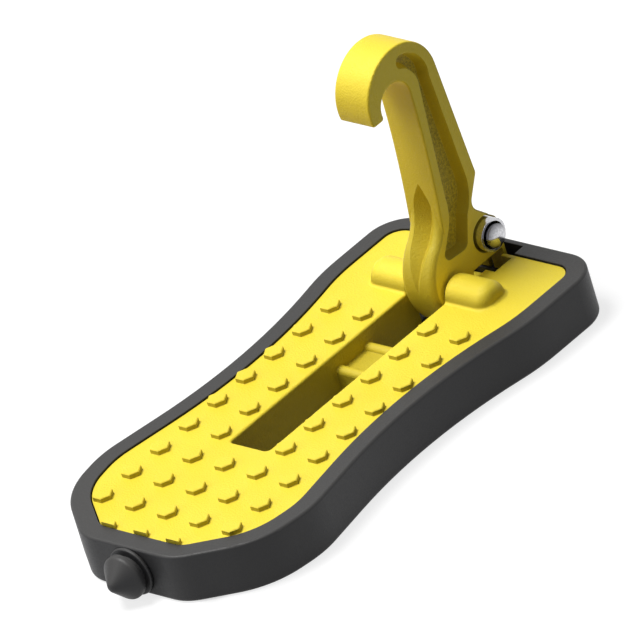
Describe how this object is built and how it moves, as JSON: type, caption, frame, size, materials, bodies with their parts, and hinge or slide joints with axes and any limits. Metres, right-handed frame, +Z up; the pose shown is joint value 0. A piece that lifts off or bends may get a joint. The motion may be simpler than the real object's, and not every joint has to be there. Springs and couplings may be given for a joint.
{
  "type": "folding car door latch step",
  "caption": "Foot step for a car's door latch: studded plate in a rubber surround, with a hook that folds into its slot and a capped breaker point.",
  "frame": {"origin": "middle of the underside, half way along the whole length", "axes": "+X across the step, to the side of the heel stud; +Y along it, to the hinge end; +Z up"},
  "size_m": [0.0782, 0.1674, 0.0914],
  "materials": {
    "yellow_paint": "semi gloss powder coat",
    "black_rubber": "matt",
    "bright_steel": "polished",
    "plain_steel": "zinc plated",
    "washer_plastic": "black nylon"
  },
  "bodies": {
    "base": {"foot_plate": "yellow_paint", "rubber_surround": "black_rubber", "pivot_pin": "plain_steel", "thrust_washer_left": "washer_plastic", "thrust_washer_right": "washer_plastic", "pin_keeper_left": "plain_steel", "pin_keeper_right": "plain_steel", "keeper_screws": "plain_steel", "breaker_point": "plain_steel"},
    "hook": {"hook": "yellow_paint", "heel_stud": "bright_steel", "heel_collar": "bright_steel"},
    "cap": {"nose_cap": "black_rubber"}
  },
  "joints": [
    {"name": "hook_fold", "type": "hinge", "parent": "base", "child": "hook", "pos_m": [0, 0.05765, 0.0144], "axis": [1, 0, 0], "range_deg": [0, 103]},
    {"name": "cap_pull", "type": "slide", "parent": "base", "child": "cap", "axis": [0, -1, 0], "range_m": [0, 0.012]}
  ]
}
